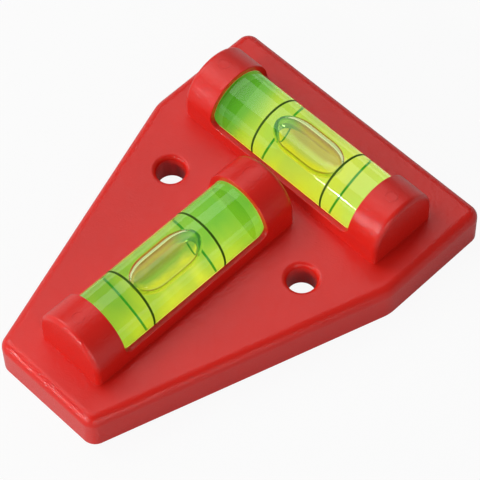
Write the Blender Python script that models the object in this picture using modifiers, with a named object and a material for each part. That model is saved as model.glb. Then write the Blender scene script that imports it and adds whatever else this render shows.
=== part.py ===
"""Screw-on cross spirit level: a tapered plate that holds two tubular vials at right angles.

+X runs along the cross vial, +Y from the narrow nose to the wide back edge, +Z up.
The origin is on the underside, in the middle of the plate's length and width.
"""

import math

import bmesh
import bpy
from mathutils import Matrix, Vector

mm = 0.001

# Vial barrel
barrel_diameter = 10.5 * mm
barrel_length = 36.0 * mm
barrel_chamfer = 0.4 * mm
barrel_wall = 1.75 * mm
bore_sag = 0.1 * mm
bore_end_round = 0.8 * mm
closed_end_wall = 3.0 * mm
plug_length = 4.5 * mm
plug_rim = 1.25 * mm
plug_flange_height = 1.0 * mm

# Level lines
line_spacing = 14.3 * mm
line_width = 0.3 * mm
line_depth = 0.2 * mm

# Bubble, and the liquid above it, below it and beside it
bubble_length = 13.2 * mm
bubble_film = 0.15 * mm
bubble_side_gap = 0.9 * mm
liquid_depth = 2.9 * mm

# Clearances
pocket_clearance = 0.1 * mm
pocket_end_clearance = 0.2 * mm
seal_clearance = 0.15 * mm
line_clearance = 0.1 * mm
overrun = 2.0 * mm

# Vial bosses
axis_height = 9.0 * mm
boss_side_wall = 0.85 * mm
boss_end_wall = 1.8 * mm
boss_round = 0.8 * mm
foot_round = 1.0 * mm
hood_length = 5.1 * mm
window_corner_radius = 1.5 * mm
rim_drop = 0.5 * mm
rim_round = 0.35 * mm

# Snap beads that keep the vials up in their channels
bead_radius = 0.6 * mm
bead_length = 6.0 * mm
bead_spacing = 18.0 * mm

# Plate, laid out round the two bosses
nose_margin = 5.3 * mm
side_margin = 4.9 * mm
valley_width = 2.6 * mm
cross_axis_from_back = 12.5 * mm
nose_width = 19.6 * mm
shoulder_length = 20.2 * mm
plate_height = 6.3 * mm
nose_corner_radius = 2.2 * mm
shoulder_corner_radius = 6.2 * mm
back_corner_radius = 2.0 * mm
edge_round = 1.7 * mm

# Hollow underside
skirt_wall = 1.8 * mm
top_wall = 1.8 * mm
core_recess = 1.5 * mm
rib_wall = 1.2 * mm

# Screw holes
hole_diameter = 4.5 * mm
hole_spacing = 27.8 * mm
hole_from_back = 27.7 * mm
hole_round = 0.6 * mm
screw_boss_wall = 1.8 * mm

# Facets
boss_steps = 20
corner_steps = 6
round_steps = 4
hole_steps = 32
turned_steps = 40
bubble_steps = 24
cap_steps = 6
bore_stations = 4
bead_steps = 16
sharp_angle = math.radians(35)

flat_tolerance = 0.01
length_tolerance = 0.01 * mm

# Worked out from the sizes above
barrel_radius = barrel_diameter / 2
bore_diameter = barrel_diameter - 2 * barrel_wall
bore_radius = bore_diameter / 2
plug_flange_radius = barrel_radius - plug_rim
bubble_width = bore_diameter - 2 * bubble_side_gap
bubble_height = bore_diameter - bubble_film - liquid_depth
chamber_length = barrel_length - closed_end_wall - plug_length
chamber_centre = (plug_length - closed_end_wall) / 2
pocket_radius = barrel_radius + pocket_clearance
pocket_length = barrel_length + 2 * pocket_end_clearance
boss_radius = pocket_radius + boss_side_wall
boss_length = pocket_length + 2 * boss_end_wall
window_length = boss_length - 2 * hood_length
plate_width = boss_length + 2 * side_margin
plate_length = nose_margin + boss_length + valley_width + boss_radius + cross_axis_from_back
hole_y = plate_length / 2 - hole_from_back
cradle_places = {
    "cross": (Vector((0, plate_length / 2 - cross_axis_from_back, 0)), 0),
    "long": (Vector((0, nose_margin + (boss_length - plate_length) / 2, 0)), -math.pi / 2),
}


# Scene and materials


def clear_scene():
    for thing in list(bpy.data.objects):
        bpy.data.objects.remove(thing, do_unlink=True)


def new_collection(name):
    collection = bpy.data.collections.new(name)
    bpy.context.scene.collection.children.link(collection)
    return collection


def new_material(name, colour, roughness, transmission=0):
    material = bpy.data.materials.new(name)
    material.use_nodes = True
    shader = material.node_tree.nodes["Principled BSDF"]
    shader.inputs["Base Color"].default_value = (*colour, 1)
    shader.inputs["Roughness"].default_value = roughness
    shader.inputs["Metallic"].default_value = 0
    shader.inputs["Transmission Weight"].default_value = transmission
    return material


# Shape helpers


def new_object(name, mesh, collection):
    thing = bpy.data.objects.new(name, mesh)
    collection.objects.link(thing)
    return thing


def new_cutter(name, mesh):
    thing = new_object(name, mesh, cutters)
    thing.hide_render = True
    thing.display_type = "WIRE"
    return thing


def evaluated_mesh(thing):
    """The mesh of an object as its modifiers leave it."""
    graph = bpy.context.evaluated_depsgraph_get()
    graph.update()
    return bpy.data.meshes.new_from_object(thing.evaluated_get(graph))


def combine(body, tool, operation):
    """Cuts the tool from the body, or joins it on, and keeps the result as the body's mesh."""
    modifier = body.modifiers.new(tool.name, "BOOLEAN")
    modifier.operation = operation
    modifier.solver = "EXACT"
    modifier.object = tool
    mesh = evaluated_mesh(body)
    body.modifiers.clear()
    body.data = mesh


def arc(centre, radius, start, end, steps):
    """Points on an arc, both ends included."""
    angles = [start + (end - start) * k / steps for k in range(steps + 1)]
    return [(centre[0] + radius * math.cos(a), centre[1] + radius * math.sin(a)) for a in angles]


def plan_outline(inset):
    """The plate's outline seen from above, moved inwards by the inset. The corner arcs keep their centres."""
    half, nose = plate_width / 2, nose_width / 2
    front, back = -plate_length / 2, plate_length / 2
    knee = back - shoulder_length
    right = [
        (Vector((nose, front)), nose_corner_radius),
        (Vector((half, knee)), shoulder_corner_radius),
        (Vector((half, back)), back_corner_radius),
    ]
    left = [(Vector((-corner.x, corner.y)), radius) for corner, radius in reversed(right)]
    ring = right + left
    points = []
    for k, (corner, radius) in enumerate(ring):
        to_last = (ring[k - 1][0] - corner).normalized()
        to_next = (ring[(k + 1) % len(ring)][0] - corner).normalized()
        half_angle = to_last.angle(to_next) / 2
        centre = corner + (to_last + to_next).normalized() * radius / math.sin(half_angle)
        start = math.atan2(to_last.x, -to_last.y)
        turn = math.pi - 2 * half_angle
        points += arc(centre, radius - inset, start, start + turn, corner_steps)
    return points


def arch_outline(radius, foot, centre):
    """An arch: straight sides up from the foot and a half circle round the centre."""
    return [(radius, foot)] + arc((0, centre), radius, 0, math.pi, boss_steps) + [(-radius, foot)]


def window_outline(length, bottom, top, radius):
    """A tall slot with rounded lower corners."""
    half = length / 2
    right = arc((half - radius, bottom + radius), radius, -math.pi / 2, 0, corner_steps)
    left = arc((radius - half, bottom + radius), radius, math.pi, math.pi * 3 / 2, corner_steps)
    return right + [(half, top), (-half, top)] + left


def prism(name, outline, thickness, across=Matrix.Identity(4), rounding=0):
    """A flat outline as a filled 2D curve with a thickness, its rims rounded, turned into one clean mesh."""
    curve = bpy.data.curves.new(name, "CURVE")
    curve.dimensions = "2D"
    curve.fill_mode = "BOTH"
    curve.extrude = thickness / 2 - rounding
    curve.bevel_depth = rounding
    curve.bevel_resolution = round_steps
    curve.offset = -rounding
    spline = curve.splines.new("POLY")
    spline.points.add(len(outline) - 1)
    for point, place in zip(spline.points, outline):
        point.co = (place[0], place[1], 0, 1)
    spline.use_cyclic_u = True
    guide = new_object(name, curve, cutters)
    mesh = evaluated_mesh(guide)
    bpy.data.objects.remove(guide)
    edit = bmesh.new()
    edit.from_mesh(mesh)
    bmesh.ops.remove_doubles(edit, verts=edit.verts, dist=length_tolerance)
    bmesh.ops.dissolve_limit(edit, angle_limit=flat_tolerance, verts=edit.verts, edges=edit.edges)
    bmesh.ops.recalc_face_normals(edit, faces=edit.faces)
    edit.to_mesh(mesh)
    edit.free()
    mesh.transform(across)
    return mesh


def cylinder(name, radius, length, place, steps):
    edit = bmesh.new()
    bmesh.ops.create_cone(
        edit, cap_ends=True, segments=steps, radius1=radius, radius2=radius, depth=length, matrix=place
    )
    mesh = bpy.data.meshes.new(name)
    edit.to_mesh(mesh)
    edit.free()
    return mesh


def block(name, size, centre):
    edit = bmesh.new()
    bmesh.ops.create_cube(edit, size=1, matrix=Matrix.Translation(centre) @ Matrix.Diagonal((*size, 1)))
    mesh = bpy.data.meshes.new(name)
    edit.to_mesh(mesh)
    edit.free()
    return mesh


def turned(name, profile, steps, closed=False):
    """A profile of (place along the axis, radius) points, turned round local X.

    It starts at the +X end of the axis and runs outwards and down the outer side. A closed one makes a ring.
    """
    edit = bmesh.new()
    corners = [edit.verts.new((radius, 0, along)) for along, radius in profile]
    if closed:
        corners.append(corners[0])
    for first, second in zip(corners, corners[1:]):
        edit.edges.new((first, second))
    mesh = bpy.data.meshes.new(name)
    edit.to_mesh(mesh)
    edit.free()
    guide = new_object(name, mesh, cutters)
    screw = guide.modifiers.new("turn", "SCREW")
    screw.axis = "Z"
    screw.angle = math.tau
    screw.steps = steps
    screw.render_steps = steps
    screw.use_merge_vertices = True
    screw.merge_threshold = length_tolerance
    mesh = evaluated_mesh(guide)
    bpy.data.objects.remove(guide)
    mesh.transform(Matrix.Rotation(math.pi / 2, 4, "Y"))
    return mesh


def round_edges(body, chosen, radius, steps):
    """Rounds the edges that the function picks."""
    edit = bmesh.new()
    edit.from_mesh(body.data)
    edges = [edge for edge in edit.edges if chosen(edge)]
    bmesh.ops.bevel(
        edit,
        geom=edges,
        offset=radius,
        offset_type="OFFSET",
        segments=steps,
        profile=0.5,
        affect="EDGES",
        clamp_overlap=True,
        loop_slide=False,
    )
    bmesh.ops.remove_doubles(edit, verts=edit.verts, dist=length_tolerance)
    edit.to_mesh(body.data)
    edit.free()


def near(value, wanted):
    return abs(value - wanted) < length_tolerance


def shade_round(thing):
    thing.data.shade_smooth()
    thing.data.set_sharp_from_angle(angle=sharp_angle)


# Across X, an outline lies in the YZ plane and its thickness runs along X.
# Across Y, it lies in the XZ plane and its thickness runs along Y.
across_x = Matrix(((0, 0, 1, 0), (1, 0, 0, 0), (0, 1, 0, 0), (0, 0, 0, 1)))
across_y = Matrix(((1, 0, 0, 0), (0, 0, -1, 0), (0, 1, 0, 0), (0, 0, 0, 1)))


def cradle_matrix(which):
    centre, turn = cradle_places[which]
    return Matrix.Translation(centre) @ Matrix.Rotation(turn, 4, "Z")


# Housing


def make_plate():
    """The plate as a solid block, its upper edge rounded all the way round."""
    mesh = prism("housing", plan_outline(0), plate_height)
    mesh.transform(Matrix.Translation((0, 0, plate_height / 2)))
    plate = new_object("housing", mesh, level)

    def upper_edge(edge):
        return all(near(vert.co.z, plate_height) for vert in edge.verts)

    round_edges(plate, upper_edge, edge_round, round_steps)
    return plate


def add_boss(housing, which):
    """An arched boss with rounded ends, its foot sunk in the plate."""
    outline = arch_outline(boss_radius, plate_height / 2, axis_height)
    mesh = prism(which + "_boss", outline, boss_length, across_x, boss_round)
    mesh.transform(cradle_matrix(which))
    combine(housing, new_cutter(which + "_boss", mesh), "UNION")


def soften_feet(housing):
    """Fills the corner where each boss stands on the plate."""

    def foot_edge(edge):
        if not all(near(vert.co.z, plate_height) for vert in edge.verts):
            return False
        tilts = sorted(abs(face.normal.z) for face in edge.link_faces)
        return tilts[0] < flat_tolerance and tilts[1] > 1 - flat_tolerance

    round_edges(housing, foot_edge, foot_round, round_steps)


def cut_window(housing, which):
    """Opens the top of a boss down to its rim, and rounds the outer edge of the cut."""
    rim = axis_height - rim_drop
    top = axis_height + boss_radius + overrun
    outline = window_outline(window_length, rim, top, window_corner_radius)
    mesh = prism(which + "_window", outline, 2 * (boss_radius + overrun / 2), across_y)
    place = cradle_matrix(which)
    mesh.transform(place)
    window = new_cutter(which + "_window", mesh)
    combine(housing, window, "DIFFERENCE")
    back = place.inverted()
    across = place.to_3x3() @ Vector((0, 1, 0))

    def outer_edge(edge):
        for vert in edge.verts:
            spot = back @ vert.co
            if abs(spot.x) > window_length / 2 + length_tolerance or spot.z < rim - length_tolerance:
                return False
            if abs(spot.y) > boss_radius + length_tolerance:
                return False
        tilts = sorted(abs(face.normal.dot(across)) for face in edge.link_faces)
        return tilts[0] < flat_tolerance < tilts[1]

    round_edges(housing, outer_edge, rim_round, round_steps // 2)


def cut_holes(housing):
    """Two screw holes with rounded mouths."""
    for side, name in ((-1, "left"), (1, "right")):
        centre = Vector((side * hole_spacing / 2, hole_y, plate_height / 2))
        length = plate_height + 2 * overrun
        mesh = cylinder(name + "_hole", hole_diameter / 2, length, Matrix.Translation(centre), hole_steps)
        combine(housing, new_cutter(name + "_hole", mesh), "DIFFERENCE")

    def mouth_edge(edge):
        for vert in edge.verts:
            from_hole = math.hypot(abs(vert.co.x) - hole_spacing / 2, vert.co.y - hole_y)
            if not near(vert.co.z, plate_height) or not near(from_hole, hole_diameter / 2):
                return False
        return True

    round_edges(housing, mouth_edge, hole_round, round_steps)


def hollow_underside(housing):
    """Cores out the plate and leaves the vial channels, the screw bosses and the rib between them."""
    ceiling = plate_height - top_wall
    height = ceiling + overrun
    mesh = prism("underside_core", plan_outline(skirt_wall), height)
    mesh.transform(Matrix.Translation((0, 0, ceiling - height / 2)))
    core = new_cutter("underside_core", mesh)
    island_height = plate_height - core_recess
    middle = core_recess + island_height / 2
    for which in cradle_places:
        size = Vector((boss_length, 2 * boss_radius, island_height))
        mesh = block(which + "_channel", size, Vector((0, 0, middle)))
        mesh.transform(cradle_matrix(which))
        combine(core, new_cutter(which + "_channel", mesh), "DIFFERENCE")
    mesh = block("rib", Vector((plate_width, rib_wall, island_height)), Vector((0, hole_y, middle)))
    combine(core, new_cutter("rib", mesh), "DIFFERENCE")
    for side, name in ((-1, "left"), (1, "right")):
        place = Matrix.Translation((side * hole_spacing / 2, hole_y, middle))
        radius = hole_diameter / 2 + screw_boss_wall
        mesh = cylinder(name + "_screw_boss", radius, island_height, place, hole_steps)
        combine(core, new_cutter(name + "_screw_boss", mesh), "DIFFERENCE")
    combine(housing, core, "DIFFERENCE")


def cut_pocket(housing, which):
    """The channel that takes the vial from below, closed over its ends by the hoods."""
    outline = arch_outline(pocket_radius, -overrun, axis_height)
    mesh = prism(which + "_pocket", outline, pocket_length, across_x)
    mesh.transform(cradle_matrix(which))
    combine(housing, new_cutter(which + "_pocket", mesh), "DIFFERENCE")


def add_beads(housing, which):
    """Short half-round beads on the channel's walls, on which the vial rests once it has snapped past."""
    reach = pocket_radius + bead_radius
    drop = math.sqrt(reach**2 - pocket_radius**2)
    along = Matrix.Rotation(math.pi / 2, 4, "Y") @ Matrix.Rotation(math.pi / bead_steps, 4, "Z")
    for end in (-1, 1):
        for side in (-1, 1):
            spot = (end * bead_spacing / 2, side * pocket_radius, axis_height - drop)
            place = cradle_matrix(which) @ Matrix.Translation(spot) @ along
            name = f"{which}_bead_{end}_{side}"
            mesh = cylinder(name, bead_radius, bead_length, place, bead_steps)
            combine(housing, new_cutter(name, mesh), "UNION")


def make_housing():
    housing = make_plate()
    for which in cradle_places:
        add_boss(housing, which)
    soften_feet(housing)
    for which in cradle_places:
        cut_window(housing, which)
    cut_holes(housing)
    hollow_underside(housing)
    for which in cradle_places:
        cut_pocket(housing, which)
        add_beads(housing, which)
    housing.data.materials.clear()
    housing.data.materials.append(red_plastic)
    shade_round(housing)
    return housing


# Vials, each modelled round local X with its closed end at +X


def bore_at(along):
    """The bore's radius at a place along the vial: widest in the middle of the chamber."""
    share = (along - chamber_centre) / (chamber_length / 2)
    return bore_radius - bore_sag * share**2


def chamber_side(inset, plug_face, closed_face):
    """Points up the bore's barrel-shaped side, from the plug to the rounded closed end."""
    rounding = bore_end_round
    top = closed_face - rounding
    stations = [plug_face + (top - plug_face) * k / bore_stations for k in range(bore_stations + 1)]
    side = [(along, bore_at(along) - inset) for along in stations]
    radius = side[-1][1]
    crown = arc((top, radius - rounding), rounding, math.pi / 2, 0, round_steps)
    return side + crown[1:]


def barrel_profile():
    end = barrel_length / 2
    seat = barrel_radius - line_depth - line_clearance
    half_groove = line_width / 2 + line_clearance
    profile = [(end, 0), (end, barrel_radius - barrel_chamfer), (end - barrel_chamfer, barrel_radius)]
    for side in (1, -1):
        line = chamber_centre + side * line_spacing / 2
        profile += [(line + half_groove, barrel_radius), (line + half_groove, seat)]
        profile += [(line - half_groove, seat), (line - half_groove, barrel_radius)]
    profile += [(barrel_chamfer - end, barrel_radius), (-end, barrel_radius - barrel_chamfer)]
    plug_face = plug_length - end
    ledge = plug_flange_height - end
    profile += [(-end, plug_flange_radius), (ledge, plug_flange_radius)]
    profile += [(ledge, bore_at(plug_face))]
    profile += chamber_side(0, plug_face, end - closed_end_wall)
    return profile + [(end - closed_end_wall, 0)]


def plug_profile():
    end = barrel_length / 2
    spigot = bore_at(plug_length - end) - seal_clearance
    flange = plug_flange_radius - seal_clearance
    ledge = plug_flange_height - seal_clearance - end
    face = plug_length - end
    return [(face, 0), (face, spigot), (ledge, spigot), (ledge, flange), (-end, flange), (-end, 0)]


def liquid_profile():
    end = barrel_length / 2
    closed_face = end - closed_end_wall - seal_clearance
    plug_face = plug_length - end + seal_clearance
    side = chamber_side(seal_clearance, plug_face, closed_face)
    return [(closed_face, 0)] + side[::-1] + [(plug_face, 0)]


def bubble_mesh(name, margin):
    """A long bubble with round ends, a little wider than it is high, floating at the top of the bore."""
    half_height = bubble_height / 2 + margin
    straight = (bubble_length - bubble_height) / 2
    nose = arc((straight, 0), half_height, 0, math.pi / 2, cap_steps)
    tail = arc((-straight, 0), half_height, math.pi / 2, math.pi, cap_steps)
    mesh = turned(name, nose + tail, bubble_steps)
    widening = (bubble_width / 2 + margin) / half_height
    mesh.transform(Matrix.Diagonal((1, widening, 1, 1)))
    rise = bore_radius - bubble_film - bubble_height / 2
    mesh.transform(Matrix.Translation((chamber_centre, 0, rise)))
    return mesh


def line_profile():
    inner = barrel_radius - line_depth
    half = line_width / 2
    return [(half, inner), (half, barrel_radius), (-half, barrel_radius), (-half, inner)]


def place_piece(name, mesh, parent, material, along=0):
    piece = new_object(name, mesh, level)
    piece.parent = parent
    piece.location = (along, 0, 0)
    mesh.materials.clear()
    mesh.materials.append(material)
    shade_round(piece)
    return piece


def make_liquid():
    liquid = new_cutter("liquid_fill", turned("liquid_fill", liquid_profile(), turned_steps))
    hollow = new_cutter("bubble_hollow", bubble_mesh("bubble_hollow", seal_clearance))
    combine(liquid, hollow, "DIFFERENCE")
    return liquid.data


def make_vials():
    """Both vials share their meshes. The bubble keeps its own origin on the vial's axis."""
    meshes = {
        "barrel": (turned("vial_barrel", barrel_profile(), turned_steps), clear_acrylic),
        "plug": (turned("vial_plug", plug_profile(), turned_steps), clear_acrylic),
        "liquid": (make_liquid(), green_liquid),
        "bubble": (bubble_mesh("vial_bubble", 0), air),
    }
    line = turned("level_line", line_profile(), turned_steps, closed=True)
    line_names = {"cross": ("left", "right"), "long": ("back", "front")}
    for which, (centre, turn) in cradle_places.items():
        axis = bpy.data.objects.new(which + "_vial_axis", None)
        level.objects.link(axis)
        axis.location = centre + Vector((0, 0, axis_height))
        axis.rotation_euler = (0, 0, turn)
        for piece, (mesh, material) in meshes.items():
            place_piece(f"{which}_vial_{piece}", mesh, axis, material)
        for side, name in zip((-1, 1), line_names[which]):
            along = chamber_centre + side * line_spacing / 2
            place_piece(f"{which}_level_line_{name}", line, axis, black_ink, along)


clear_scene()
level = new_collection("cross_spirit_level")
cutters = new_collection("cutters")
red_plastic = new_material("red_plastic", (0.65, 0.02, 0.015), 0.38)
clear_acrylic = new_material("clear_acrylic", (0.95, 1.0, 0.9), 0.02, 1)
green_liquid = new_material("green_liquid", (0.65, 0.85, 0.05), 0.0, 1)
air = new_material("air", (1.0, 1.0, 1.0), 0.0, 1)
black_ink = new_material("black_ink", (0.01, 0.01, 0.01), 0.5)
make_housing()
make_vials()
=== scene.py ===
import math

import bmesh
import bpy
from mathutils import Matrix, Vector


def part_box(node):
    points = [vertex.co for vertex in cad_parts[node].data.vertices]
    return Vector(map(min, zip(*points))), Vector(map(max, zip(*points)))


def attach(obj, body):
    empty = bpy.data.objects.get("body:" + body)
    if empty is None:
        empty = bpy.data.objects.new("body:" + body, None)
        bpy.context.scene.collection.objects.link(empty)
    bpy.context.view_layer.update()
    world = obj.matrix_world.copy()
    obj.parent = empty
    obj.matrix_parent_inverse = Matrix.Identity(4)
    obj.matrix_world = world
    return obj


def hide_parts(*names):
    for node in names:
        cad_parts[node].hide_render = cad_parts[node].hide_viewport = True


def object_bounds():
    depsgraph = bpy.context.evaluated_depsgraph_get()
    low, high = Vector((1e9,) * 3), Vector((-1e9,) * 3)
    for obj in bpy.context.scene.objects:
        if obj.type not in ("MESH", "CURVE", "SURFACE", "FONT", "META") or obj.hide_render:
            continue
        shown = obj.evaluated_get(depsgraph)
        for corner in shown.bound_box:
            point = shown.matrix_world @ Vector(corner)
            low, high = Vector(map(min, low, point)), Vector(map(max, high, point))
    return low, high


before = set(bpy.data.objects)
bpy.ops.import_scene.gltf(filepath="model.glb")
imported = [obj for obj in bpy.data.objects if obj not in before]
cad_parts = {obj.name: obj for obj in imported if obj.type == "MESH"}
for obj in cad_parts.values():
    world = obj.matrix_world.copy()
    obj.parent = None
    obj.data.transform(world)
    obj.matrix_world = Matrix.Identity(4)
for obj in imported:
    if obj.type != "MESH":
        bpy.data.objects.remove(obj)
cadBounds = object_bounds()
scene = bpy.context.scene
mm = 0.001
print("frame loaded:", len(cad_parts), "nodes")


# Small helpers

def hexColour(text):  # sRGB hex to a linear colour
    shares = [int(text[k:k + 2], 16) / 255 for k in (1, 3, 5)]
    return [s / 12.92 if s <= 0.04045 else ((s + 0.055) / 1.055) ** 2.4 for s in shares] + [1]


def addNode(tree, kind, sockets=(), **settings):  # each socket is linked to another node's, or set to a value
    node = tree.nodes.new(kind)
    for name, value in settings.items():
        setattr(node, name, value)
    for key, value in dict(sockets).items():
        if isinstance(value, bpy.types.NodeSocket):
            tree.links.new(value, node.inputs[key])
        else:
            node.inputs[key].default_value = value
    return node


def newMaterial(name):
    material = bpy.data.materials.new(name)
    material.use_nodes = True
    material.node_tree.nodes.clear()
    return material, material.node_tree


def newObject(name, data):
    thing = bpy.data.objects.new(name, data)
    scene.collection.objects.link(thing)
    return thing


def evaluatedMesh(thing):
    graph = bpy.context.evaluated_depsgraph_get()
    graph.update()
    return bpy.data.meshes.new_from_object(thing.evaluated_get(graph))


def meshOf(name, shape):
    mesh = bpy.data.meshes.new(name)
    shape.to_mesh(mesh)
    shape.free()
    return mesh


def combine(body, tool, operation):  # the tool is used up
    modifier = body.modifiers.new(tool.name, "BOOLEAN")
    modifier.operation = operation
    modifier.solver = "EXACT"
    modifier.object = tool
    mesh = evaluatedMesh(body)
    body.modifiers.clear()
    body.data = mesh
    bpy.data.objects.remove(tool)


def towards(azimuth, elevation):  # from the part, in degrees: azimuth 0 is its front, 90 its right
    azimuth, elevation = math.radians(azimuth), math.radians(elevation)
    return Vector((
        math.sin(azimuth) * math.cos(elevation),
        -math.cos(azimuth) * math.cos(elevation),
        math.sin(elevation),
    ))


# Camera at the photo's viewpoint: fitted to the plate's corners, the screw holes and the level lines

cameraView = {
    "aim": (-0.083, 6.584, 0.485),  # mm
    "distance": 362.14,  # mm
    "azimuth": 46.488,  # degrees, as the next two
    "elevation": 56.690,
    "roll": -1.628,
    "lens": 179.09,  # mm, as the sensor
    "sensor": 36,
    "clip": (0.01, 20),  # m
}


def makeCamera():
    azimuth, roll = math.radians(cameraView["azimuth"]), math.radians(cameraView["roll"])
    back = towards(cameraView["azimuth"], cameraView["elevation"])
    level = Vector((math.cos(azimuth), math.sin(azimuth), 0))
    up = back.cross(level)
    right = level * math.cos(roll) + up * math.sin(roll)
    top = up * math.cos(roll) - level * math.sin(roll)
    lens = bpy.data.cameras.new("camera")
    lens.lens = cameraView["lens"]
    lens.sensor_width = cameraView["sensor"]
    lens.clip_start, lens.clip_end = cameraView["clip"]
    camera = newObject("camera", lens)
    place = Matrix((right, top, back)).transposed().to_4x4()
    place.translation = (Vector(cameraView["aim"]) + back * cameraView["distance"]) * mm
    camera.matrix_world = place
    scene.camera = camera


# Lights: a low key at the front left, a long soft panel over the back that gives flat tops their sheen,
# and two fills

lamps = {  # degrees, m and W
    "keyBox": {"azimuth": -12, "elevation": 21, "distance": 0.40, "size": (0.19, 0.008), "power": 0.75},
    "leftBox": {"azimuth": -72, "elevation": 40, "distance": 0.40, "size": (0.20, 0.20), "power": 0.50},
    "backPanel": {"azimuth": 246, "elevation": 64, "distance": 0.45, "size": (0.28, 0.60), "power": 0.74},
    "fillBox": {"azimuth": 64, "elevation": 20, "distance": 0.40, "size": (0.12, 0.12), "power": 0.36},
}
studio = {
    "lampAim": (0, 0, 0.008),  # m, as all sizes here
    "dome": 0.15,  # even light from all round
    "background": 1.0,  # strength of the white that the floor and the sweep show
    "colour": "#c8c8c8",
    "roughness": 0.9,
    "specular": 0.1,
    "floorSize": 3.0,
    "floorWhite": {"Camera": 0.93, "Glossy": 0.12, "Transmission": 0.55},  # the rest takes the shadow
    "sweepWhite": {"Camera": 1.0, "Glossy": 1.0, "Transmission": 1.0},
    "sweepDistance": 1.5,  # a low white wall all round, far off
    "sweepHeight": 0.32,
    "sweepSides": 48,
}


def makeLights():
    aim = Vector(studio["lampAim"])
    for name, lamp in lamps.items():
        light = bpy.data.lights.new(name, "AREA")
        light.shape = "RECTANGLE"
        light.size, light.size_y = lamp["size"]
        light.energy = lamp["power"]
        away = towards(lamp["azimuth"], lamp["elevation"])
        wide = (Vector((1, 0, 0)) - away * away.x).normalized()
        place = Matrix((wide, away.cross(wide), away)).transposed().to_4x4()
        place.translation = aim + away * lamp["distance"]
        newObject(name, light).matrix_world = place


def makeWorld():
    world = bpy.data.worlds.new("dimSurround")
    world.use_nodes = True
    tree = world.node_tree
    tree.nodes.clear()
    light = addNode(tree, "ShaderNodeBackground", {"Color": (1, 1, 1, 1), "Strength": studio["dome"]})
    addNode(tree, "ShaderNodeOutputWorld", {"Surface": light.outputs[0]})
    scene.world = world


# Emulsion paint on the floor and uncoated paper round it: matt and pale, with no shine of their own.
# Each kind of ray sees a share of plain white in them

def makeMattWhite(name, whites):
    material, tree = newMaterial(name)
    matt = addNode(tree, "ShaderNodeBsdfPrincipled", {
        "Base Color": hexColour(studio["colour"]), "Roughness": studio["roughness"],
        "Specular IOR Level": studio["specular"]})
    white = addNode(tree, "ShaderNodeEmission", {"Color": (1, 1, 1, 1), "Strength": studio["background"]})
    path = addNode(tree, "ShaderNodeLightPath")
    most = 0
    for ray, share in whites.items():
        seen = addNode(tree, "ShaderNodeMath", {0: path.outputs[f"Is {ray} Ray"], 1: share},
                       operation="MULTIPLY")
        most = addNode(tree, "ShaderNodeMath", {0: seen.outputs[0], 1: most},
                       operation="MAXIMUM").outputs[0]
    mix = addNode(tree, "ShaderNodeMixShader", {0: most, 1: matt.outputs[0], 2: white.outputs[0]})
    addNode(tree, "ShaderNodeOutputMaterial", {"Surface": mix.outputs[0]})
    return material


def makeFloor():
    shape = bmesh.new()
    half = studio["floorSize"] / 2
    corners = [shape.verts.new((x * half, y * half, 0)) for x, y in ((-1, -1), (1, -1), (1, 1), (-1, 1))]
    shape.faces.new(corners)
    floor = newObject("floor", meshOf("floor", shape))
    floor.location.z = cadBounds[0].z
    floor.data.materials.append(makeMattWhite("paintedStudioFloor", studio["floorWhite"]))


def makeSweep():
    shape = bmesh.new()
    bmesh.ops.create_circle(shape, segments=studio["sweepSides"], radius=studio["sweepDistance"])
    wall = bmesh.ops.extrude_edge_only(shape, edges=shape.edges)["geom"]
    for vert in wall:
        if isinstance(vert, bmesh.types.BMVert):
            vert.co.z = studio["sweepHeight"]
    sweep = newObject("sweep", meshOf("sweep", shape))
    sweep.location.z = cadBounds[0].z
    sweep.data.materials.append(makeMattWhite("whitePaperSweep", studio["sweepWhite"]))


makeCamera()
makeLights()
makeWorld()
makeFloor()
makeSweep()
scene.view_settings.view_transform = "Standard"
print("camera, lights and floor set")


# ABS, moulded against spark-eroded steel: an even satin red, with highlights softened by the fine grain

redPlastic = {
    "colour": "#e32319",
    "deepColour": "#d81f16",  # slight streaks in the pigment
    "streak": 9 * mm,
    "streakSwirl": 0.6,
    "roughness": (0.30, 0.42),  # smoother on the grain's tops than in its pits
    "grainLevels": (0.66, 0.42),  # heights of the noise at those tops and pits
    "ior": 1.52,
    "specular": 0.12,
    "skin": 0.55,  # the clear resin-rich skin over the pigment, which carries the highlights
    "skinRoughness": 0.12,
    "grain": 0.28 * mm,  # the real grain is about 0.06 mm, drawn coarser so that it shows
    "grainDepth": 0.10 * mm,
    "wave": 5 * mm,  # the skin draws in slightly as it cools
    "waveDepth": 0.03 * mm,
}


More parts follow.
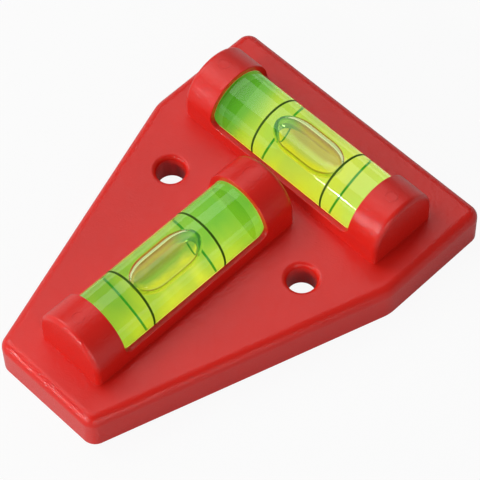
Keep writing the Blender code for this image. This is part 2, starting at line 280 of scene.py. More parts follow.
def makeRedPlastic():
    material, tree = newMaterial("sparkErodedABS")
    spot = addNode(tree, "ShaderNodeTexCoord").outputs["Object"]
    streaks = addNode(tree, "ShaderNodeTexNoise", {
        "Vector": spot, "Scale": 1 / redPlastic["streak"], "Detail": 3.0,
        "Distortion": redPlastic["streakSwirl"]})
    colour = addNode(tree, "ShaderNodeMix", {
        0: streaks.outputs["Fac"], 6: hexColour(redPlastic["colour"]),
        7: hexColour(redPlastic["deepColour"])}, data_type="RGBA")
    grain = addNode(tree, "ShaderNodeTexNoise", {
        "Vector": spot, "Scale": 1 / redPlastic["grain"], "Detail": 1.0, "Roughness": 0.5})
    wave = addNode(tree, "ShaderNodeTexNoise", {
        "Vector": spot, "Scale": 1 / redPlastic["wave"], "Detail": 1.0})
    dents = addNode(tree, "ShaderNodeBump", {
        "Height": wave.outputs["Fac"], "Distance": redPlastic["waveDepth"], "Strength": 1.0})
    pits = addNode(tree, "ShaderNodeBump", {
        "Height": grain.outputs["Fac"], "Distance": redPlastic["grainDepth"], "Strength": 1.0,
        "Normal": dents.outputs[0]})
    polish = addNode(tree, "ShaderNodeMapRange", {
        "Value": grain.outputs["Fac"],
        "From Min": redPlastic["grainLevels"][0], "From Max": redPlastic["grainLevels"][1],
        "To Min": redPlastic["roughness"][0], "To Max": redPlastic["roughness"][1]})
    shader = addNode(tree, "ShaderNodeBsdfPrincipled", {
        "Base Color": colour.outputs[2], "Roughness": polish.outputs[0], "IOR": redPlastic["ior"],
        "Specular IOR Level": redPlastic["specular"], "Normal": dents.outputs[0],
        "Coat Weight": redPlastic["skin"], "Coat Roughness": redPlastic["skinRoughness"],
        "Coat IOR": redPlastic["ior"], "Coat Normal": pits.outputs[0]})
    addNode(tree, "ShaderNodeOutputMaterial", {"Surface": shader.outputs[0]})
    return material


# Housing: one red moulding. Its box and the places of the vials come from the frame

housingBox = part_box("housing")
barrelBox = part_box("cross_vial_barrel")
crossCentre = sum(barrelBox, Vector()) / 2
longCentre = sum(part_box("long_vial_barrel"), Vector()) / 2
barrelRadius = (barrelBox[1].z - barrelBox[0].z) / 2
barrelLength = barrelBox[1].x - barrelBox[0].x
vialPlaces = {  # local X runs along each vial to its closed end
    "cross": Matrix.Translation(crossCentre),
    "long": Matrix.Translation(longCentre) @ Matrix.Rotation(-math.pi / 2, 4, "Z"),
}

housing = {  # mm, apart from the angles and steps
    "plateHeight": 6.3,
    "noseWidth": 19.6,
    "shoulderLength": 20.2,
    "noseCorner": 2.2,
    "shoulderCorner": 6.2,
    "backCorner": 2.0,
    "edgeRound": 1.7,
    "bossLength": 40.0,
    "bossRound": 0.8,
    "footRound": 1.0,
    "windowLength": 28.8,
    "windowCorner": 1.5,
    "rimDrop": 0.5,
    "rimRound": 0.75,
    "farRimLength": 1.25,  # the hood over the plug has a longer round to its edge
    "pocketGap": 0.06,
    "pocketLength": 36.4,
    "skirtWall": 1.8,
    "topWall": 1.8,
    "coreRecess": 1.5,
    "ribWall": 1.2,
    "holeDiameter": 4.5,
    "holeSpacing": 27.8,
    "holeFromBack": 27.7,
    "holeRound": 1.0,
    "screwBossWall": 1.8,
    "beadRadius": 0.6,
    "beadLength": 6.0,
    "beadSpacing": 18.0,
    "sharpRound": 0.08,  # the least radius that a mould leaves on an edge
    "sharpSteps": 2,
    "sharpAngle": 40,  # degrees: edges bent by less stay as they are
}
facets = {  # how many flat steps make up each curve
    "arch": 56,
    "corner": 12,
    "round": 6,
    "hole": 64,
    "groove": 256,
    "bead": 20,
    "vial": 128,
    "bore": 24,
    "boreRound": 8,
    "bubbleAround": 64,
    "bubbleCap": 16,
}
creaseAngle = math.radians(32)  # faces that meet at a wider angle keep a hard edge in the shading
overrun = 2 * mm  # how far a cutting tool reaches past what it cuts
tiny = 0.005 * mm  # points closer than this count as one
flat = 0.01  # slope below which faces count as flat or level


def arc(centre, radius, start, end, steps):
    angles = [start + (end - start) * k / steps for k in range(steps + 1)]
    return [(centre[0] + radius * math.cos(a), centre[1] + radius * math.sin(a)) for a in angles]


def plateOutline(inset):  # seen from above, the corner arcs keep their centres
    half, nose = housingBox[1].x, housing["noseWidth"] * mm / 2
    front, back = housingBox[0].y, housingBox[1].y
    knee = back - housing["shoulderLength"] * mm
    corners = [(nose, front, "noseCorner"), (half, knee, "shoulderCorner"), (half, back, "backCorner")]
    ring = [(Vector((x, y)), housing[size] * mm) for x, y, size in corners]
    ring += [(Vector((-spot.x, spot.y)), radius) for spot, radius in reversed(ring)]
    points = []
    for k, (corner, radius) in enumerate(ring):
        toLast = (ring[k - 1][0] - corner).normalized()
        toNext = (ring[(k + 1) % len(ring)][0] - corner).normalized()
        halfAngle = toLast.angle(toNext) / 2
        centre = corner + (toLast + toNext).normalized() * radius / math.sin(halfAngle)
        start = math.atan2(toLast.x, -toLast.y)
        points += arc(centre, radius - inset, start, start + math.pi - 2 * halfAngle, facets["corner"])
    return points


def archOutline(radius, foot, centre):
    return [(radius, foot)] + arc((0, centre), radius, 0, math.pi, facets["arch"]) + [(-radius, foot)]


def prism(name, outline, thickness, across=Matrix.Identity(4), rounding=0):  # a thick shape with rounded rims
    curve = bpy.data.curves.new(name, "CURVE")
    curve.dimensions = "2D"
    curve.fill_mode = "BOTH"
    curve.extrude = thickness / 2 - rounding
    curve.bevel_depth = rounding
    curve.bevel_resolution = facets["round"]
    curve.offset = -rounding
    spline = curve.splines.new("POLY")
    spline.points.add(len(outline) - 1)
    for point, place in zip(spline.points, outline):
        point.co = (place[0], place[1], 0, 1)
    spline.use_cyclic_u = True
    guide = newObject(name, curve)
    shape = bmesh.new()
    shape.from_mesh(evaluatedMesh(guide))
    bpy.data.objects.remove(guide)
    bmesh.ops.remove_doubles(shape, verts=shape.verts, dist=tiny)
    bmesh.ops.dissolve_limit(shape, angle_limit=flat, verts=shape.verts, edges=shape.edges)
    bmesh.ops.recalc_face_normals(shape, faces=shape.faces)
    shape.transform(across)
    return newObject(name, meshOf(name, shape))


def cylinder(name, radius, length, place, steps):
    shape = bmesh.new()
    bmesh.ops.create_cone(shape, cap_ends=True, segments=steps, radius1=radius, radius2=radius,
                          depth=length, matrix=place)
    return newObject(name, meshOf(name, shape))


def block(name, size, place):
    shape = bmesh.new()
    bmesh.ops.create_cube(shape, size=1, matrix=place @ Matrix.Diagonal((*size, 1)))
    return newObject(name, meshOf(name, shape))


def roundEdges(body, chosen, radius, steps):
    shape = bmesh.new()
    shape.from_mesh(body.data)
    edges = [edge for edge in shape.edges if chosen(edge)]
    bmesh.ops.bevel(shape, geom=edges, offset=radius, offset_type="OFFSET", segments=steps, profile=0.5,
                    affect="EDGES", clamp_overlap=True, loop_slide=False)
    bmesh.ops.remove_doubles(shape, verts=shape.verts, dist=tiny)
    shape.to_mesh(body.data)
    shape.free()


# These stand an outline upright, with its thickness along X or Y
acrossX = Matrix(((0, 0, 1, 0), (1, 0, 0, 0), (0, 1, 0, 0), (0, 0, 0, 1)))
acrossY = Matrix(((1, 0, 0, 0), (0, 0, -1, 0), (0, 1, 0, 0), (0, 0, 0, 1)))
plateTop = housing["plateHeight"] * mm
bossRadius = housingBox[1].z - crossCentre.z
holeY = housingBox[1].y - housing["holeFromBack"] * mm
onAxis = {  # each vial's place, let down to the underside
    which: place @ Matrix.Translation((0, 0, -crossCentre.z))
    for which, place in vialPlaces.items()
}


def makePlate():
    plate = prism("housingShell", plateOutline(0), plateTop)
    plate.data.transform(Matrix.Translation((0, 0, plateTop / 2)))
    roundEdges(plate, lambda edge: all(abs(v.co.z - plateTop) < tiny for v in edge.verts),
               housing["edgeRound"] * mm, facets["round"])
    return plate


def addBosses(shell):
    for place in onAxis.values():
        outline = archOutline(bossRadius, plateTop / 2, crossCentre.z)
        boss = prism("boss", outline, housing["bossLength"] * mm, acrossX, housing["bossRound"] * mm)
        boss.data.transform(place)
        combine(shell, boss, "UNION")

    def footEdge(edge):
        if not all(abs(v.co.z - plateTop) < tiny for v in edge.verts):
            return False
        tilts = sorted(abs(face.normal.z) for face in edge.link_faces)
        return tilts[0] < flat and tilts[1] > 1 - flat

    roundEdges(shell, footEdge, housing["footRound"] * mm, facets["round"])


def cutWindows(shell):
    half, rim = housing["windowLength"] * mm / 2, crossCentre.z - housing["rimDrop"] * mm
    top, corner = crossCentre.z + bossRadius + overrun, housing["windowCorner"] * mm
    rimRound = housing["rimRound"] * mm
    outline = arc((half - corner, rim + corner), corner, -math.pi / 2, 0, facets["corner"])
    outline += [(half, top), (-half, top)]
    outline += arc((corner - half, rim + corner), corner, math.pi, math.pi * 3 / 2, facets["corner"])
    for place in onAxis.values():
        window = prism("window", outline, 2 * bossRadius + overrun, acrossY)
        window.data.transform(place)
        combine(shell, window, "DIFFERENCE")
        back = place.inverted()
        across = place.to_3x3() @ Vector((0, 1, 0))

        def outerEdge(edge):
            for v in edge.verts:
                spot = back @ v.co
                if abs(spot.x) > half + tiny or spot.z < rim - tiny or abs(spot.y) > bossRadius + tiny:
                    return False
            tilts = sorted(abs(face.normal.dot(across)) for face in edge.link_faces)
            return tilts[0] < flat < tilts[1]

        roundEdges(shell, outerEdge, rimRound, facets["round"] // 2)
        for v in shell.data.vertices:  # draws out the round on the hood over the plug
            spot = back @ v.co
            past = -spot.x - half
            onHood = spot.z > rim and abs(spot.y) < bossRadius + tiny
            if onHood and tiny < past < rimRound + tiny:
                spot.x = -half - past * housing["farRimLength"] / housing["rimRound"]
                v.co = place @ spot


def cutHoles(shell):
    spots = [Vector((side * housing["holeSpacing"] * mm / 2, holeY, plateTop / 2)) for side in (-1, 1)]
    radius = housing["holeDiameter"] * mm / 2
    for spot in spots:
        hole = cylinder("hole", radius, plateTop + 2 * overrun, Matrix.Translation(spot), facets["hole"])
        combine(shell, hole, "DIFFERENCE")

    def mouthEdge(edge):
        for v in edge.verts:
            fromHole = min((v.co.xy - spot.xy).length for spot in spots)
            if abs(v.co.z - plateTop) > tiny or abs(fromHole - radius) > tiny:
                return False
        return True

    roundEdges(shell, mouthEdge, housing["holeRound"] * mm, facets["round"])


def hollowUnderside(shell):
    ceiling = plateTop - housing["topWall"] * mm
    core = prism("core", plateOutline(housing["skirtWall"] * mm), ceiling + overrun)
    core.data.transform(Matrix.Translation((0, 0, (ceiling - overrun) / 2)))
    recess = housing["coreRecess"] * mm
    height = plateTop - recess
    middle = recess + height / 2
    for place in onAxis.values():
        size = (housing["bossLength"] * mm, 2 * bossRadius, height)
        combine(core, block("channel", size, place @ Matrix.Translation((0, 0, middle))), "DIFFERENCE")
    size = (2 * housingBox[1].x, housing["ribWall"] * mm, height)
    combine(core, block("rib", size, Matrix.Translation((0, holeY, middle))), "DIFFERENCE")
    for side in (-1, 1):
        spot = Matrix.Translation((side * housing["holeSpacing"] * mm / 2, holeY, middle))
        radius = (housing["holeDiameter"] / 2 + housing["screwBossWall"]) * mm
        combine(core, cylinder("screwBoss", radius, height, spot, facets["hole"]), "DIFFERENCE")
    combine(shell, core, "DIFFERENCE")


def cutPockets(shell):
    radius = barrelRadius + housing["pocketGap"] * mm
    bead = housing["beadRadius"] * mm
    drop = math.sqrt((radius + bead) ** 2 - radius ** 2)
    along = Matrix.Rotation(math.pi / 2, 4, "Y") @ Matrix.Rotation(math.pi / facets["bead"], 4, "Z")
    for place in onAxis.values():
        outline = archOutline(radius, -overrun, crossCentre.z)
        pocket = prism("pocket", outline, housing["pocketLength"] * mm, acrossX)
        pocket.data.transform(place)
        combine(shell, pocket, "DIFFERENCE")
        for end in (-1, 1):
            for side in (-1, 1):
                spot = (end * housing["beadSpacing"] * mm / 2, side * radius, crossCentre.z - drop)
                snap = cylinder("bead", bead, housing["beadLength"] * mm,
                                place @ Matrix.Translation(spot) @ along, facets["bead"])
                combine(shell, snap, "UNION")


# Ejector pins leave a faint ring on top of each hood: the groove follows the arch

ejectorMarks = {  # mm: vial, place along it, ring radius
    "spots": (("cross", -17.4, 0.9), ("cross", 17.4, 0.9), ("long", 17.4, 0.9), ("long", -17.4, 1.4)),
    "lineWidth": 0.12,
    "depth": 0.05,
}


def pressEjectorMarks(shell):
    half = ejectorMarks["lineWidth"] * mm / 2
    for which, along, radius in ejectorMarks["spots"]:
        place = onAxis[which]
        upright = place @ Matrix.Translation((along * mm, 0, crossCentre.z + bossRadius))
        ring = cylinder("ring", radius * mm + half, overrun, upright, facets["hole"])
        inner = cylinder("inner", radius * mm - half, 2 * overrun, upright, facets["hole"])
        combine(ring, inner, "DIFFERENCE")
        turn = place @ Matrix.Translation((along * mm, 0, crossCentre.z))
        turn = turn @ Matrix.Rotation(math.pi / 2, 4, "Y")
        deep = bossRadius - ejectorMarks["depth"] * mm
        combine(ring, cylinder("arch", deep, 4 * overrun, turn, facets["groove"]), "DIFFERENCE")
        combine(shell, ring, "DIFFERENCE")


def makeHousing():
    shell = makePlate()
    addBosses(shell)
    cutWindows(shell)
    cutHoles(shell)
    hollowUnderside(shell)
    cutPockets(shell)
    pressEjectorMarks(shell)
    shell.data.materials.clear()
    shell.data.materials.append(makeRedPlastic())
    shell.data.shade_smooth()
    shell.data.set_sharp_from_angle(angle=creaseAngle)
    soft = shell.modifiers.new("mouldedEdges", "BEVEL")
    soft.width = housing["sharpRound"] * mm
    soft.segments = housing["sharpSteps"]
    soft.limit_method = "ANGLE"
    soft.angle_limit = math.radians(housing["sharpAngle"])
    soft.harden_normals = False
    weigh = shell.modifiers.new("flatFaces", "WEIGHTED_NORMAL")
    weigh.keep_sharp = True
    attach(shell, "housing")
    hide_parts("housing")


makeHousing()
print("housing built")


# Cast acrylic, machined and polished: clear as glass, with sharp reflections

acrylic = {
    "ior": 1.49,
    "liquidIor": 1.40,
    "bondedIor": 1.0,  # light goes straight through a joint that has no air in it
    "liquidColour": "#e1f2a8",
}


def makeClear(name, ior, colour="#ffffff"):
    material, tree = newMaterial(name)
    shader = addNode(tree, "ShaderNodeBsdfPrincipled", {
        "Base Color": hexColour(colour), "Roughness": 0.0, "IOR": ior, "Transmission Weight": 1.0})
    addNode(tree, "ShaderNodeOutputMaterial", {"Surface": shader.outputs[0]})
    return material


# Dyed level fluid, whose dye glows in daylight: painted light, yellow where it pools and green in shade

glow = {
    "strength": 1.0,
    "body": "#52a045",
    "roughness": 0.6,
    "cloud": 3.2 * mm,  # soft patches of gathered light
    "cloudLevels": (0.3, 0.7),
    "cloudShare": 0.3,
    "vials": {  # the colours that show, by mm from the vial's middle, and where one side turns into the other
        # yellow is painted light pooled in the dye, the dark greens at the plug's end painted hood shade
        "cross": {
            "nearSide": (
                (-17.8, "#3d6018"), (-16.8, "#4b8527"), (-15, "#5c9c30"), (-13.5, "#6ca530"),
                (-11.5, "#b2c428"), (-10, "#d4d224"), (-3, "#dcd61c"), (6, "#dcd828"), (11, "#d6d63c"),
            ),
            "farSide": (
                (-17.8, "#3d6018"), (-16.8, "#4d8628"), (-15, "#60a236"), (-13, "#72ab40"),
                (-10, "#afc846"), (-3, "#b4be48"), (6, "#cbd050"), (11, "#c3ca55"),
            ),
            "turn": (-1, 3),
        },
        "long": {
            "nearSide": (
                (-18, "#508c28"), (-17.3, "#a5c332"), (-16.5, "#8cb934"), (-13, "#9dbe32"),
                (-9.5, "#cdd737"), (-3, "#dcdc3e"), (3, "#d4d734"), (6, "#c3ca2d"), (11, "#b4c22b"),
            ),
            "farSide": (
                (-18, "#508c28"), (-17.3, "#6ea532"), (-13, "#70ac3a"), (-9, "#7db23a"),
                (-3, "#96b444"), (3, "#8caf3c"), (7, "#7fa534"), (11, "#7fa032"),
            ),
            "turn": (0.5, -3.2),
        },
    },
}


def makeGlow(which):
    plan = glow["vials"][which]
    material, tree = newMaterial("dyeGlowPaintedLight" + which.capitalize())
    spot = addNode(tree, "ShaderNodeTexCoord").outputs["Object"]
    parts = addNode(tree, "ShaderNodeSeparateXYZ", {0: spot})
    cloud = addNode(tree, "ShaderNodeTexNoise", {"Vector": spot, "Scale": 1 / glow["cloud"], "Detail": 1.0})
    half = barrelLength / 2
    along = addNode(tree, "ShaderNodeMapRange", {
        "Value": parts.outputs["X"], "From Min": -half, "From Max": half})
    tints = hexColour(acrylic["liquidColour"])  # the liquid in front adds this, so it is taken out here
    sides = []
    for side in ("nearSide", "farSide"):
        ramp = addNode(tree, "ShaderNodeValToRGB", {0: along.outputs[0]})
        stops = ramp.color_ramp.elements
        while len(stops) < len(plan[side]):
            stops.new(0.5)
        for stop, (place, text) in zip(stops, plan[side]):
            stop.position = (place * mm + half) / barrelLength
            stop.color = [seen / tint for seen, tint in zip(hexColour(text), tints)]
        sides.append(ramp.outputs[0])
    turn = addNode(tree, "ShaderNodeMapRange", {
        "Value": parts.outputs["Y"], "From Min": plan["turn"][0] * mm, "From Max": plan["turn"][1] * mm},
        interpolation_type="SMOOTHSTEP")
    patches = addNode(tree, "ShaderNodeMapRange", {
        "Value": cloud.outputs["Fac"],
        "From Min": glow["cloudLevels"][0], "From Max": glow["cloudLevels"][1],
        "To Min": -glow["cloudShare"], "To Max": glow["cloudShare"]})
    share = addNode(tree, "ShaderNodeMath", {0: turn.outputs[0], 1: patches.outputs[0]},
                    operation="ADD", use_clamp=True)
    colour = addNode(tree, "ShaderNodeMix", {0: share.outputs[0], 6: sides[0], 7: sides[1]}, data_type="RGBA")
    shader = addNode(tree, "ShaderNodeBsdfPrincipled", {
        "Base Color": hexColour(glow["body"]), "Roughness": glow["roughness"],
        "Emission Color": colour.outputs[2], "Emission Strength": glow["strength"]})
    addNode(tree, "ShaderNodeOutputMaterial", {"Surface": shader.outputs[0]})
    return material


# Air in the liquid, with the smooth skin that a liquid draws: clear, its far slope a painted reflection
# of the red wall through the dye, and its rim a glowing olive or green line of painted light

airSkin = {
    "clear": "#ffffff",
    # painted reflection of the red wall, seen through the dye on the far slope
    "wallReflectionTint": "#d8ae82",
    "slopeShares": (0.30, 0.62),  # of the way from the middle to the far side, where the tint comes in
    # the rim line is painted light: the olive and green that light bent at the edge shows, as a glow
    "meniscus": "#7f8d14",
    "farRimLine": "#94882a",
    "farShares": (0.2, 0.6),
    "endRimLine": "#438c3a",  # at the end towards the plug
    "endShares": (0.5, 1.2),
    "meniscusShares": (0.94, 0.975),  # of the way out from the bubble's middle line
    "meniscusWiderShare": 0.11,  # wider on the far side and the plug's end
    "turnShares": (0.0, 0.6),  # where it grows wider
    "meniscusDensity": 0.8,
}


def makeAirSkin(which, farSide):
    material, tree = newMaterial("airAgainstLiquid" + which.capitalize())
    spot = addNode(tree, "ShaderNodeTexCoord").outputs["Object"]
    cap, width = vial["bubbleCap"] * mm, vial["bubbleWidth"] * mm
    straight = vial["bubbleLength"] * mm / 2 - cap
    fromCentre = addNode(tree, "ShaderNodeVectorMath", {0: spot, 1: (chamberCentre, 0, 0)},
                         operation="SUBTRACT")
    places = addNode(tree, "ShaderNodeVectorMath", {  # X towards the plug, Y towards the far side
        0: fromCentre.outputs[0], 1: (-1 / cap, 2 * farSide / width, 0)}, operation="MULTIPLY")
    plain = addNode(tree, "ShaderNodeVectorMath", {0: places.outputs[0]}, operation="ABSOLUTE")
    past = addNode(tree, "ShaderNodeVectorMath", {0: plain.outputs[0], 1: (straight / cap, 0, 0)},
                   operation="SUBTRACT")
    inCap = addNode(tree, "ShaderNodeVectorMath", {0: past.outputs[0], 1: (0, 0, 0)}, operation="MAXIMUM")
    out = addNode(tree, "ShaderNodeVectorMath", {0: inCap.outputs[0]}, operation="LENGTH")
    parts = addNode(tree, "ShaderNodeSeparateXYZ", {0: places.outputs[0]})
    turn = addNode(tree, "ShaderNodeVectorMath", {0: places.outputs[0], 1: (1, 1, 0)},
                   operation="DOT_PRODUCT")
    shares = {}
    for name, value, most in (
            ("turn", turn.outputs["Value"], airSkin["meniscusWiderShare"]),
            ("slope", parts.outputs["Y"], 1),
            ("far", parts.outputs["Y"], 1),
            ("end", parts.outputs["X"], 1)):  # each share rises from 0 to its most
        first, last = airSkin[name + "Shares"]
        shares[name] = addNode(tree, "ShaderNodeMapRange", {
            "Value": value, "From Min": first, "From Max": last, "To Max": most},
            interpolation_type="SMOOTHSTEP").outputs[0]
    reach = addNode(tree, "ShaderNodeMath", {0: out.outputs["Value"], 1: shares["turn"]}, operation="ADD")
    edge = addNode(tree, "ShaderNodeMapRange", {
        "Value": reach.outputs[0], "From Min": airSkin["meniscusShares"][0],
        "From Max": airSkin["meniscusShares"][1], "To Max": airSkin["meniscusDensity"]},
        interpolation_type="SMOOTHSTEP").outputs[0]
    sideLine = addNode(tree, "ShaderNodeMix", {
        0: shares["far"], 6: hexColour(airSkin["meniscus"]), 7: hexColour(airSkin["farRimLine"])},
        data_type="RGBA")
    line = addNode(tree, "ShaderNodeMix", {
        0: shares["end"], 6: sideLine.outputs[2], 7: hexColour(airSkin["endRimLine"])}, data_type="RGBA")
    tint = addNode(tree, "ShaderNodeMix", {
        0: shares["slope"], 6: hexColour(airSkin["clear"]), 7: hexColour(airSkin["wallReflectionTint"])},
        data_type="RGBA")
    colour = addNode(tree, "ShaderNodeMix", {0: edge, 6: tint.outputs[2], 7: line.outputs[2]},
                     data_type="RGBA")
    # the rim line glows as painted light, and the slope's colour carries the painted wall reflection
    shader = addNode(tree, "ShaderNodeBsdfPrincipled", {
        "Base Color": colour.outputs[2], "Roughness": 0.0, "IOR": acrylic["liquidIor"],
        "Transmission Weight": 1.0, "Metallic": edge,
        "Emission Color": line.outputs[2], "Emission Strength": edge})
    addNode(tree, "ShaderNodeOutputMaterial", {"Surface": shader.outputs[0]})
    return material


# Epoxy ink, screen-printed round the barrel: dull and dark, slightly uneven where the screen lifted.
# The dye's light on it is painted in as a glow: dark green, and plain green where it is seen through the
# liquid

screenInk = {
    # the second value is how strongly the dye's light is painted into the ink as a glow
    "prints": {  # colour, and how much light comes through
        "screenInkPaintedGlow": ("#2f4d08", 0.35),
        "inkSeenThroughLiquid": ("#2f8a30", 1.0),
    },
    "roughness": 0.6,
    "specular": 0.15,
    "smear": 0.4 * mm,
    "smearDepth": 0.01 * mm,
    "smearStrength": 0.6,
}


def makeInk(name):
    colour, strength = screenInk["prints"][name]
    material, tree = newMaterial(name)
    spot = addNode(tree, "ShaderNodeTexCoord").outputs["Object"]
    smear = addNode(tree, "ShaderNodeTexNoise", {
        "Vector": spot, "Scale": 1 / screenInk["smear"], "Detail": 2.0})
    bump = addNode(tree, "ShaderNodeBump", {
        "Height": smear.outputs["Fac"], "Distance": screenInk["smearDepth"],
        "Strength": screenInk["smearStrength"]})
    # the emission is painted light from the dye, over the ink's own colour
    shader = addNode(tree, "ShaderNodeBsdfPrincipled", {
        "Base Color": hexColour(colour), "Roughness": screenInk["roughness"], "Normal": bump.outputs[0],
        "Specular IOR Level": screenInk["specular"],
        "Emission Color": hexColour(colour), "Emission Strength": strength})
    addNode(tree, "ShaderNodeOutputMaterial", {"Surface": shader.outputs[0]})
    return material


# Vials: each is turned round local X, with its closed end at +X

vial = {  # mm
    "chamfer": 0.4,
    "boreRadius": 3.5,
    "boreSag": 0.1,  # how much less the radius is at the ends
    "boreRound": 0.8,
    "closedWall": 3.0,
    "plugLength": 4.5,
    "flangeRadius": 4.0,
    "flangeHeight": 1.0,
    "joint": 0.01,  # between surfaces that touch on the real vial
    "lineSpacing": 14.3,
    "lineWidth": 0.36,
    "lineDepth": 0.06,
    "lineProud": 0.01,
    "bubbleLength": 13.4,
    "bubbleWidth": 4.8,
    "bubbleHeight": 3.7,
    "bubbleFilm": 0.42,  # liquid between the bubble's crown and the bore
    "bubbleCap": 4.6,
    "bubbleBrim": 1.25,  # how far below its crown the bubble is widest
    "bubbleArch": 3.6,  # radius of its top across the vial
    "bubbleFull": 10.0,  # above the brim: 2 is an ellipse, more is fuller
    "bubbleSkin": 0.02,
}
vialSides = {  # its two level lines, from the plug's end, and which way in local Y the camera's far side lies
    "cross": {"lines": ("left", "right"), "far": 1},
    "long": {"lines": ("back", "front"), "far": -1},
}
vialEnd = barrelLength / 2
plugFace = vial["plugLength"] * mm - vialEnd
closedFace = vialEnd - vial["closedWall"] * mm
chamberCentre = (plugFace + closedFace) / 2


def boreAt(along):  # the bore is barrel-shaped, widest in the middle
    share = (along - chamberCentre) / ((closedFace - plugFace) / 2)
    return (vial["boreRadius"] - vial["boreSag"] * share ** 2) * mm


def boreSide(inset, start, end):  # from the plug to the rounded closed end
    rounding, stations = vial["boreRound"] * mm, facets["bore"]
    top = end - rounding
    side = [start + (top - start) * k / stations for k in range(stations + 1)]
    points = [(along, boreAt(along) - inset) for along in side]
    centre = (top, points[-1][1] - rounding)
    return points + arc(centre, rounding, math.pi / 2, 0, facets["boreRound"])[1:]


def bridgeRings(shape, first, second, steps, slot):  # a ring of a single point is a tip
    made = []
    for k in range(steps):
        corners = []
        for ring, index in ((first, k), (first, k + 1), (second, k + 1), (second, k)):
            corner = ring[index % len(ring)]
            if corner not in corners:
                corners.append(corner)
        face = shape.faces.new(corners)
        face.material_index = slot
        made.append(face)
    return made


def turned(name, profile, slots, closed=False):  # a profile of (along, radius), with a slot for each segment
    shape = bmesh.new()
    rings = []
    for along, radius in profile:
        turns = facets["vial"] if radius > tiny else 1
        angles = [math.tau * k / turns for k in range(turns)]
        rings.append([shape.verts.new((along, radius * math.sin(a), radius * math.cos(a))) for a in angles])
    pairs = zip(rings, rings[1:] + (rings[:1] if closed else []))
    for (first, second), slot in zip(pairs, slots):
        bridgeRings(shape, first, second, facets["vial"], slot)
    bmesh.ops.recalc_face_normals(shape, faces=shape.faces)
    return meshOf(name, shape)


def placeVialPiece(name, mesh, which, materials, body, node):
    piece = newObject(name, mesh)
    piece.matrix_world = vialPlaces[which]
    for material in materials:
        mesh.materials.append(material)
    mesh.shade_smooth()
    mesh.set_sharp_from_angle(angle=creaseAngle)
    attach(piece, body)
    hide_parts(node)


def barrelMesh():  # slots: 0 polished, 1 wetted by the liquid, 2 bonded to the plug, 3 lit by the dye
    radius, chamfer, flange = barrelRadius, vial["chamfer"] * mm, vial["flangeRadius"] * mm
    halfWindow = housing["windowLength"] * mm / 2
    ledge = vial["flangeHeight"] * mm - vialEnd
    profile = [(vialEnd, 0), (vialEnd, radius - chamfer), (vialEnd - chamfer, radius)]
    profile += [(halfWindow, radius), (-halfWindow, radius)]
    profile += [(chamfer - vialEnd, radius), (-vialEnd, radius - chamfer), (-vialEnd, flange)]
    slots = [0] * 7
    profile += [(ledge, flange), (ledge, boreAt(plugFace)), (plugFace, boreAt(plugFace))]
    slots += [2, 2, 1]
    side = boreSide(0, plugFace, closedFace)[1:] + [(closedFace, 0)]
    profile += side
    slots += [1] * len(side)
    mesh = turned("vialBarrel", profile, slots)
    # faces under the hoods and below the rim take the painted glow of the lit dye
    for face in mesh.polygons:
        underHood = abs(face.center.x) > halfWindow
        belowRim = face.center.z < -housing["rimDrop"] * mm
        if face.material_index == 0 and (underHood or belowRim):
            face.material_index = 3
    return mesh


def plugMesh():  # slots: 0 polished, 1 bonded to the barrel or wetted by the liquid
    gap = vial["joint"] * mm
    spigot, flange = boreAt(plugFace) - gap, vial["flangeRadius"] * mm - gap
    ledge = vial["flangeHeight"] * mm - vialEnd - gap
    profile = [(plugFace, 0), (plugFace, spigot), (ledge, spigot)]
    profile += [(ledge, flange), (-vialEnd, flange), (-vialEnd, 0)]
    return turned("vialPlug", profile, [1, 1, 1, 1, 0])


def liquidMesh():
    gap = vial["joint"] * mm
    start, end = plugFace + gap, closedFace - gap
    profile = [(start, 0)] + boreSide(gap, start, end) + [(end, 0)]
    return turned("vialLiquid", profile, [0] * (len(profile) - 1))


def bubbleRings():  # an arched top and a flatter underside, the ends are round seen from above
    length, width, height = (vial["bubble" + side] * mm for side in ("Length", "Width", "Height"))
    half, cap, crown = length / 2, vial["bubbleCap"] * mm, (vial["boreRadius"] - vial["bubbleFilm"]) * mm
    brim, arch = crown - vial["bubbleBrim"] * mm, vial["bubbleArch"] * mm
    around, stations = facets["bubbleAround"], facets["bubbleCap"]

    def point(along, past, angle):  # past: 0 where the cap starts, 1 at the tip
        spread = math.sqrt(max(1 - past ** 2, 0))
        y = width / 2 * spread * math.sin(angle)
        out = min(math.hypot(past, 2 * y / width), 1)
        if math.cos(angle) > 0:
            bulge = (1 - out ** vial["bubbleFull"]) ** 0.5
            return along, y, brim + (crown - arch + math.sqrt(arch ** 2 - y ** 2) - brim) * bulge
        return along, y, brim - (brim - crown + height) * math.sqrt(1 - out ** 2)

    places = []
    for k in range(1, stations + 1):
        past = math.cos(math.pi / 2 * k / stations)
        places.append((cap - half - cap * past, past))
    places += [(-along, past) for along, past in reversed(places)]
    rings = [[point(along, past, math.tau * k / around) for k in range(around)] for along, past in places]
    return [[point(-half, 1, 0)]] + rings + [[point(half, 1, 0)]]


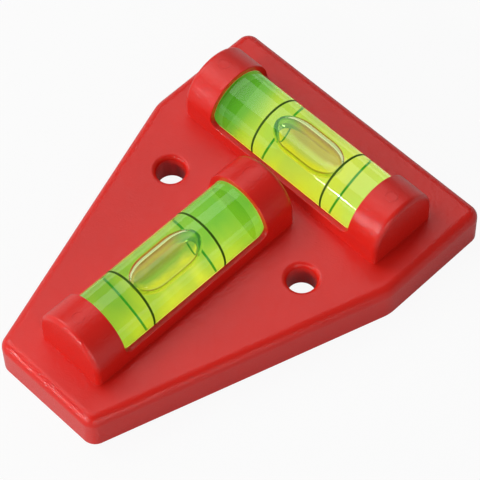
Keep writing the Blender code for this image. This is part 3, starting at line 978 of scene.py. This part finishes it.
def bubbleMesh():  # slots: 0 bonded to the liquid, 1 the air's own skin just inside
    shape = bmesh.new()
    for slot, inset in enumerate((0, vial["bubbleSkin"] * mm)):
        rings = [[shape.verts.new(spot) for spot in ring] for ring in bubbleRings()]
        made = []
        for first, second in zip(rings, rings[1:]):
            made += bridgeRings(shape, first, second, facets["bubbleAround"], slot)
        bmesh.ops.recalc_face_normals(shape, faces=made)
        shape.normal_update()
        for vert in {vert for face in made for vert in face.verts}:
            vert.co -= vert.normal * inset
    bmesh.ops.reverse_faces(shape, faces=made)
    shape.transform(Matrix.Translation((chamberCentre, 0, 0)))
    return meshOf("vialBubble", shape)


def lineMesh():
    outer, inner = barrelRadius + vial["lineProud"] * mm, barrelRadius - vial["lineDepth"] * mm
    half = vial["lineWidth"] * mm / 2
    profile = [(half, inner), (half, outer), (-half, outer), (-half, inner)]
    return turned("levelLine", profile, [0, 0, 0, 1], closed=True)


def makeVials():
    clear = makeClear("polishedAcrylic", acrylic["ior"])
    wetted = makeClear("acrylicAgainstLiquid", acrylic["ior"] / acrylic["liquidIor"])
    bonded = makeClear("bondedAcrylic", acrylic["bondedIor"])
    liquid = makeClear("dyedLiquid", acrylic["bondedIor"], acrylic["liquidColour"])
    ink, inkBelow = makeInk("screenInkPaintedGlow"), makeInk("inkSeenThroughLiquid")
    for which in vialPlaces:
        shine, air = makeGlow(which), makeAirSkin(which, vialSides[which]["far"])
        placeVialPiece(which + "Barrel", barrelMesh(), which, [clear, wetted, bonded, shine], "housing",
                       which + "_vial_barrel")
        placeVialPiece(which + "Plug", plugMesh(), which, [clear, liquid], "housing",
                       which + "_vial_plug")
        placeVialPiece(which + "Liquid", liquidMesh(), which, [liquid], "housing",
                       which + "_vial_liquid")
        placeVialPiece(which + "Bubble", bubbleMesh(), which, [bonded, air], which + "_bubble",
                       which + "_vial_bubble")
        for side, name in zip((-1, 1), vialSides[which]["lines"]):
            line = lineMesh()
            line.transform(Matrix.Translation((chamberCentre + side * vial["lineSpacing"] * mm / 2, 0, 0)))
            placeVialPiece(which + "Line" + name.capitalize(), line, which, [ink, inkBelow], "housing",
                           f"{which}_level_line_{name}")


makeVials()
print("vials built")
